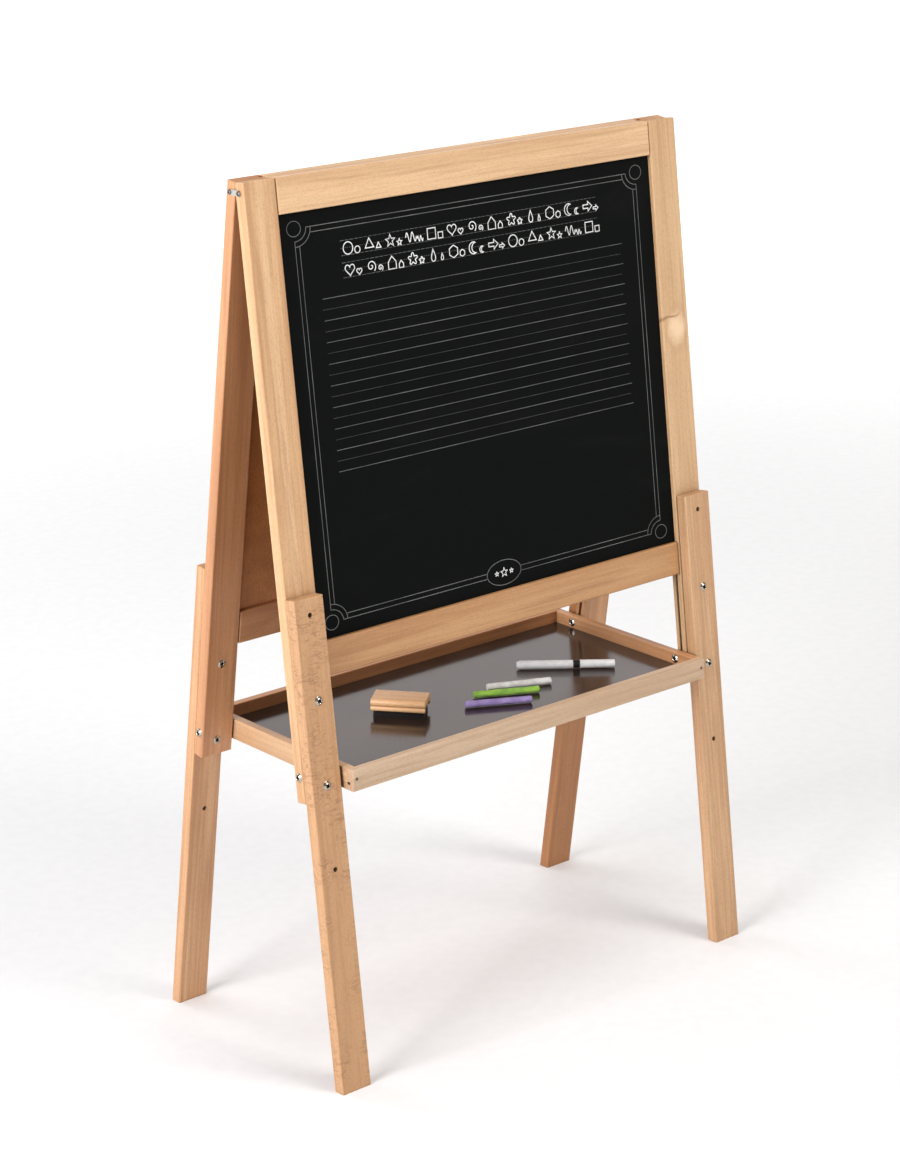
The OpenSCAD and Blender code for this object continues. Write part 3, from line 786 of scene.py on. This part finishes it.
def eraser_handle(material):
    """A wooden moulding: a rounded top, a narrow cove and a lip on each side, and a hollow for the felt."""
    space, size = lying("eraser_handle")
    half, w, h = size.x / 2, size.y / 2, size.z
    lip, roof = HANDLE_LIP, HANDLE_ROOF * h
    hollow = arc((w - lip - 3 * MM, roof - 4 * MM), 3 * MM, 4 * MM, 90, 0, 6) + [(w - lip, 0.4 * MM)]
    lower = arc((w - 0.16 * h, 0.20 * h), 0.16 * h, 0.20 * h, -90, 90, 10)
    cove = arc((w - 0.02 * h, 0.47 * h), 0.19 * h, 0.115 * h, 250, 110, 8)
    upper = arc((w - 0.30 * h, h - 0.30 * h), 0.28 * h, 0.30 * h, -75, 90, 14)
    outline = hollow + lower + cove + upper
    outline = outline + [(-y, z) for y, z in reversed(outline)]
    bm = bmesh.new()
    soft = 0.5 * MM
    ends = ((-half, soft), (-half + 0.3 * soft, 0.3 * soft), (-half + soft, 0))
    rows = []
    for x, shrink in ends + tuple((-x, shrink) for x, shrink in reversed(ends)):
        scale_y, scale_z = 1 - shrink / w, 1 - 2 * shrink / h
        ring = [(x, y * scale_y, h / 2 + (z - h / 2) * scale_z) for y, z in outline]
        rows.append([bm.verts.new(space @ Vector(point)) for point in ring])
    for one, two in zip(rows, rows[1:]):
        band(bm, one, two)
    for row in (rows[0], rows[-1]):
        bmesh.ops.triangulate(bm, faces=[bm.faces.new(row)])
    return finished("eraser_grip", bm, material, node="eraser_handle", smooth=math.radians(28))


def felt_layer(bm, space, seed, half_x, half_y, low, high):
    """One layer of felt, with soft uneven edges."""
    count = 120
    rings = []
    for level, inset in ((0.0, 0.30), (0.22, 0.05), (0.5, 0.0), (0.78, 0.05), (1.0, 0.30)):
        points = []
        for k in range(count):
            angle = 2 * math.pi * k / count
            c, s = math.cos(angle), math.sin(angle)
            edge = 1 / (abs(c) ** FELT_SQUARENESS + abs(s) ** FELT_SQUARENESS) ** (1 / FELT_SQUARENESS)
            x, y = half_x * c * edge, half_y * s * edge
            rough = 0.16 * MM * noise.noise(Vector((x * 700, y * 700, seed * 3.1 + level)))
            pull = (inset * MM + abs(rough)) / max(half_x, half_y)
            points.append((x * (1 - pull), y * (1 - pull), low + (high - low) * level))
        rings.append(points)
    lofted(bm, rings, space)


def eraser_felt(material):
    """Layers of dark felt under the handle, and a narrower one that fills its hollow."""
    space, size = lying("eraser_felt")
    _, handle = lying("eraser_handle")
    thick = size.z / FELT_LAYERS
    bm = bmesh.new()
    for layer in range(FELT_LAYERS):
        draw = random.Random(31 + layer)
        half_x = size.x / 2 - draw.uniform(0.1, 0.5) * MM
        half_y = size.y / 2 - draw.uniform(0.1, 0.5) * MM
        felt_layer(bm, space, layer, half_x, half_y, layer * thick, (layer + 1) * thick)
    play = 0.3 * MM
    inside = handle.y / 2 - HANDLE_LIP - play
    roof = size.z + HANDLE_ROOF * handle.z - play
    felt_layer(bm, space, FELT_LAYERS, size.x / 2 - 0.4 * MM, inside, size.z, roof)
    piece = finished("eraser_felt_layers", bm, material, node="eraser_felt", smooth=math.radians(60))
    return piece


def marker_space():
    """The marker's axis, from the barrel's blunt end towards the cap, as a space with Z along it."""
    cap_low, cap_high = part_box("marker_cap")
    space, size = lying("marker_barrel", towards=(cap_low + cap_high) / 2)
    centre = space @ Matrix.Translation((-size.x / 2, 0, size.z / 2))
    return centre @ Matrix.Rotation(math.radians(90), 4, "Y"), size


def lathe_piece(name, node, profile, space, material):
    """A turned piece from (radius, height) pairs along the space's Z."""
    bm = bmesh.new()
    lofted(bm, [circle(r, z, 56) for r, z in profile], space)
    return finished(name, bm, material, node=node)


def rounded_end(radius, start, soft, sign):
    """Profile points of a rounded outer edge whose flat end lies at start. sign is 1 where it faces -Z."""
    points, steps = [], 5
    for k in range(steps + 1):
        angle = math.pi / 2 * k / steps
        points.append((radius - soft + soft * math.sin(angle), start + sign * soft * (1 - math.cos(angle))))
    return points if sign > 0 else points[::-1]


def marker(white, black, nib):
    """Barrel with an end plug and a ring, ribbed grip with its neck, fibre nib, and cap with a vented end."""
    space, size = marker_space()
    axis = space.inverted()
    radius = size.y / 2

    def span(node):
        low, high = extent([axis @ v.co for v in NODES[node].data.vertices])
        return low.z, high.z, high.x

    start, stop, _ = span("marker_barrel")
    plug_r, seam, dip = 0.80 * radius, 3.2 * MM, 0.12 * MM
    profile = [(0.35 * plug_r, start + 0.25 * MM)] + rounded_end(plug_r, start, 0.8 * MM, 1)
    profile += [(plug_r, start + 2.0 * MM), (radius - 0.25 * MM, start + 2.25 * MM)]
    profile += [(radius, start + 2.6 * MM), (radius, start + seam + 1 * MM)]
    profile += [(radius, stop - 3.6 * MM), (radius - dip, stop - 3.5 * MM)]
    profile += [(radius - dip, stop - 3.2 * MM), (radius, stop - 3.1 * MM), (radius, stop - 0.2 * MM)]
    profile += [(radius - 0.2 * MM, stop)]
    lathe_piece("marker_body", "marker_barrel", profile, space, white)

    start, stop, _ = span("marker_grip")
    cap_start, cap_stop, cap_r = span("marker_cap")
    neck_r, tip_r = 3.7 * MM, 1.8 * MM
    band_r = radius - 0.15 * MM
    groove_r = band_r - 0.35 * MM
    profile = [(band_r - 0.3 * MM, start)]
    ribs = 4
    pitch = (cap_start - start - 0.6 * MM) / ribs
    for k in range(ribs):
        z = start + 0.3 * MM + k * pitch
        profile += [(band_r, z + 0.10 * pitch), (band_r, z + 0.62 * pitch)]
        profile += [(groove_r, z + 0.72 * pitch), (groove_r, z + pitch)]
    profile += [(neck_r, cap_start - 0.2 * MM), (neck_r, stop - 8 * MM), (0.8 * neck_r, stop - 5.5 * MM)]
    profile += [(tip_r, stop)]
    lathe_piece("marker_band_and_neck", "marker_grip", profile, space, black)

    start, stop, nib_r = span("marker_nib")
    profile = [(nib_r, start), (nib_r, stop - 1.2 * MM), (0.75 * nib_r, stop - 0.4 * MM), (0.3 * nib_r, stop)]
    lathe_piece("marker_fibre_nib", "marker_nib", profile, space, nib)

    wall, inner_r = 2 * MM, neck_r + 0.1 * MM
    profile = [(0.3 * inner_r, cap_stop - wall), (inner_r, cap_stop - wall)]
    profile += [(inner_r, cap_start + 0.3 * MM), (inner_r + 0.3 * MM, cap_start)]
    profile += [(cap_r - 0.25 * MM, cap_start), (cap_r, cap_start + 0.3 * MM)]
    profile += [(cap_r, cap_start + 2.2 * MM), (cap_r - 0.18 * MM, cap_start + 2.4 * MM)]
    profile += [(cap_r - 0.35 * MM, cap_stop - 1.1 * MM)]
    profile += rounded_end(cap_r - 0.4 * MM, cap_stop, 1.0 * MM, -1)
    profile += [(0.62 * cap_r, cap_stop), (0.58 * cap_r, cap_stop - 0.1 * MM)]
    profile += [(0.55 * cap_r, cap_stop - 1.1 * MM)]
    lathe_piece("marker_cap_shell", "marker_cap", profile, space, white)


# ---- Wood ----

def grain_axis(node):
    """The axis of its own space along which a bar's grain runs."""
    if "stile" in node or "leg" in node:
        return "z"
    return "y" if "end_rail" in node else "x"


# A darker, redder tint that is painted shade, for back-frame bars in the easel's shade
BACK_FRAME_SHADE_TINT = (0.88, 0.78, 0.70)
# What sets single bars apart: tint, streakiness, ray fleck and a scar. The darker, redder tints of the back
# frame's bars and of the tray's back and right end rails are painted shade.
BARS = {
    "front_stile_left": {"tint": (0.88, 0.835, 0.76), "stripes": 1.0},
    "front_stile_right": {"tint": (0.89, 0.91, 0.88), "stripes": 0.3, "scar": (0.101, 0.0)},
    "front_top_rail": {"tint": (1.02, 1.05, 1.05), "stripes": 0.75},
    "front_bottom_rail": {"tint": (0.70, 0.585, 0.44), "stripes": 0.6},
    "front_leg_left": {"tint": (0.82, 0.765, 0.69), "figure": 0.66, "stripes": 0.25},
    "front_leg_right": {"tint": (0.83, 0.785, 0.735), "figure": 0.12, "stripes": 0.8},
    "back_stile_left": {"tint": (0.83, 0.66, 0.56)},
    "back_stile_right": {"tint": BACK_FRAME_SHADE_TINT},
    "back_bottom_rail": {"tint": (0.76, 0.60, 0.50)},
    "back_leg_left": {"tint": BACK_FRAME_SHADE_TINT},
    "back_leg_right": {"tint": (0.60, 0.42, 0.26), "figure": 0.15, "stripes": 0.6},
    "tray_front_rail": {"tint": (0.83, 0.94, 1.13), "stripes": 0.35},
    "tray_end_rail_left": {"tint": (0.88, 0.91, 0.95)},
    "tray_back_rail": {"tint": (0.88, 0.66, 0.52)},
    "tray_end_rail_right": {"tint": (0.90, 0.74, 0.62)},
}


def dress_wood():
    """Every beech bar gets a material of its own: no two bars are cut from the same place, and some bars carry
    painted shade in their tint.
    """
    for seed, node in enumerate(sorted(n for n, slot in SLOT_OF.items() if slot == "beech")):
        low, high = box_in(node, space_of(node))
        centred = space_of(node) @ Matrix.Translation((low + high) / 2)
        tone = random.Random(seed + 70).uniform(0.97, 1.03)
        look = {"tint": (tone, tone, tone)} | BARS.get(node, {})
        material = beech("beech_" + node, centred, grain_axis(node), seed + 11, **look)
        NODES[node].material_slots[0].material = material


def dress_carried():
    """Finishes of the CAD nodes whose shape stays, and finer fasteners in place of theirs."""
    metal = nickel()
    heads = nickel("warm_nickel_heads", (0.47, 0.41, 0.34), 0.19)
    # Painted shade: the fasteners' hexagon sockets are made nearly black inside
    socket_shade = nickel("socket_painted_shade", (0.020, 0.017, 0.014), 0.6)
    dark_steel = nickel("dark_screw_steel", (0.20, 0.185, 0.17), 0.32)
    finishes = {
        "blackboard": writing_board(frame_space(FRONT)),
        "whiteboard_backing": hardboard(),
        "whiteboard_steel": enamel(),
        "tray_sheet": tray_film(),
        "tray_nails": nickel("nail_steel", (0.13, 0.10, 0.075), 0.45),
    }
    for node in ("top_link_left", "top_link_right", "front_tray_washers", "back_tray_washers"):
        finishes[node] = metal
    for node, material in finishes.items():
        NODES[node].material_slots[0].material = material
    for node in ("front_leg_bolts", "back_leg_bolts", "front_leg_nuts", "back_leg_nuts", "front_tray_bolts",
                 "back_tray_bolts", "front_tray_sleeves", "back_tray_sleeves"):
        dress_fasteners(node, heads, socket_shade)
    for node in ("front_link_screws", "back_link_screws"):
        dress_fasteners(node, dark_steel, socket_shade)


def dress_loose_things():
    """The eraser, the chalks and the marker, each built again in place of its CAD nodes."""
    grip_space, _ = lying("eraser_handle")
    eraser_handle(beech("eraser_softwood", grip_space, "x", 5, tint=(1.20, 1.18, 1.10), stripes=0.5))
    eraser_felt(felt())
    chalk_piece("chalk_white", chalk_stick("white_chalk", (0.80, 0.79, 0.77), (0.62, 0.60, 0.58)), 1.3)
    chalk_piece("chalk_green", chalk_stick("green_chalk", (0.30, 0.56, 0.035), (0.17, 0.38, 0.025)), 7.9)
    chalk_piece("chalk_purple", chalk_stick("purple_chalk", (0.34, 0.24, 0.53), (0.22, 0.15, 0.38)), 4.4)
    white = plastic("marker_white_plastic", (0.80, 0.80, 0.80), 0.22)
    black = plastic("marker_black_plastic", (0.012, 0.012, 0.012), 0.35)
    marker(white, black, felt())


# ---- Studio ----

CAMERA_AT = Vector((-2.021, -2.270, 1.460))
CAMERA_LENS = 89.4
CAMERA_CLIP = (0.05, 200)
LOOK_AT = Vector((-0.010, 0.010, 0.455))
# Name, place, size, power in watts and colour
SOFTBOXES = (
    ("key", (1.5, -3.7, 3.9), (2.2, 2.2), 138, (1.0, 0.965, 0.92)),
    ("left", (-4.3, -0.5, 2.0), (2.0, 2.0), 225, (0.98, 0.965, 1.0)),
    ("rear", (3.5, 3.8, 2.3), (3.6, 2.4), 27, (1.0, 0.93, 0.92)),
    ("back", (-1.2, 4.4, 2.7), (2.5, 2.5), 62, (1, 1, 1)),
)
SOFTBOX_AIM = (0, 0, 0.5)
# The world's strength, against how far up a ray points
SKY = {"From Min": 0.03, "From Max": 0.16, "To Min": 0.95, "To Max": 0.26}
FLOOR_HALF = 40


def camera():
    data = bpy.data.cameras.new("camera")
    data.lens = CAMERA_LENS
    data.sensor_width = 36
    data.clip_start, data.clip_end = CAMERA_CLIP
    made = bpy.data.objects.new("camera", data)
    bpy.context.scene.collection.objects.link(made)
    made.location = CAMERA_AT
    made.rotation_euler = (LOOK_AT - CAMERA_AT).to_track_quat("-Z", "Y").to_euler()
    bpy.context.scene.camera = made


def lamp(kind, name, location, power, colour, aim, **settings):
    """A light that shines from a place towards aim, and that the camera does not see."""
    data = bpy.data.lights.new(name, kind)
    data.energy, data.color = power, colour
    for key, value in settings.items():
        setattr(data, key, value)
    made = bpy.data.objects.new(name, data)
    bpy.context.scene.collection.objects.link(made)
    made.location = location
    made.rotation_euler = (Vector(aim) - Vector(location)).to_track_quat("-Z", "Y").to_euler()
    made.visible_camera = False


def sky():
    """A white world, brighter at the horizon than above."""
    world = bpy.data.worlds.new("studio")
    bpy.context.scene.world = world
    world.use_nodes = True
    background = world.node_tree.nodes["Background"]
    background.inputs["Color"].default_value = (0.97, 0.985, 1.0, 1.0)
    nodes, links = world.node_tree.nodes, world.node_tree.links
    split, fade = nodes.new("ShaderNodeSeparateXYZ"), nodes.new("ShaderNodeMapRange")
    for socket, value in SKY.items():
        fade.inputs[socket].default_value = value
    links.new(nodes.new("ShaderNodeTexCoord").outputs["Generated"], split.inputs[0])
    links.new(split.outputs["Z"], fade.inputs["Value"])
    links.new(fade.outputs[0], background.inputs["Strength"])


def lights():
    for name, location, (width, height), power, colour in SOFTBOXES:
        lamp("AREA", name, location, power, colour, SOFTBOX_AIM, shape="RECTANGLE", size=width, size_y=height)
    lamp("SUN", "overhead", (0.0, 0.3, 5.0), 1.2, (1, 1, 1), (0, 0, 0), angle=math.radians(50))


def pale_floor():
    """A wide paper floor. Far from the easel it glows a little, so that it stays pale up to the horizon."""
    bm = bmesh.new()
    bmesh.ops.create_grid(bm, x_segments=1, y_segments=1, size=FLOOR_HALF)
    mesh = bpy.data.meshes.new("floor")
    bm.to_mesh(mesh)
    bm.free()
    paper = Shader("pale_floor", Roughness=0.7, Specular_IOR_Level=0.2)
    tooth = paper.noise(paper.place, scale=60, detail=3.0)
    paper.set("Base Color", paper.mix(paper.step(tooth, 0.3, 0.7), (0.74, 0.74, 0.74), (0.76, 0.76, 0.76)))
    away = paper.vector("LENGTH", paper.place, out="Value")
    paper.set("Emission Color", (1.0, 1.0, 1.0))
    paper.set("Emission Strength", paper.step(away, 1.4, 5.0, 0.0, 0.55))
    mesh.materials.append(paper.material)
    floor = bpy.data.objects.new("floor", mesh)
    bpy.context.scene.collection.objects.link(floor)


camera()
sky()
lights()
pale_floor()
bpy.context.scene.view_settings.view_transform = "Standard"
dress_wood()
dress_carried()
board_print()
dress_loose_things()
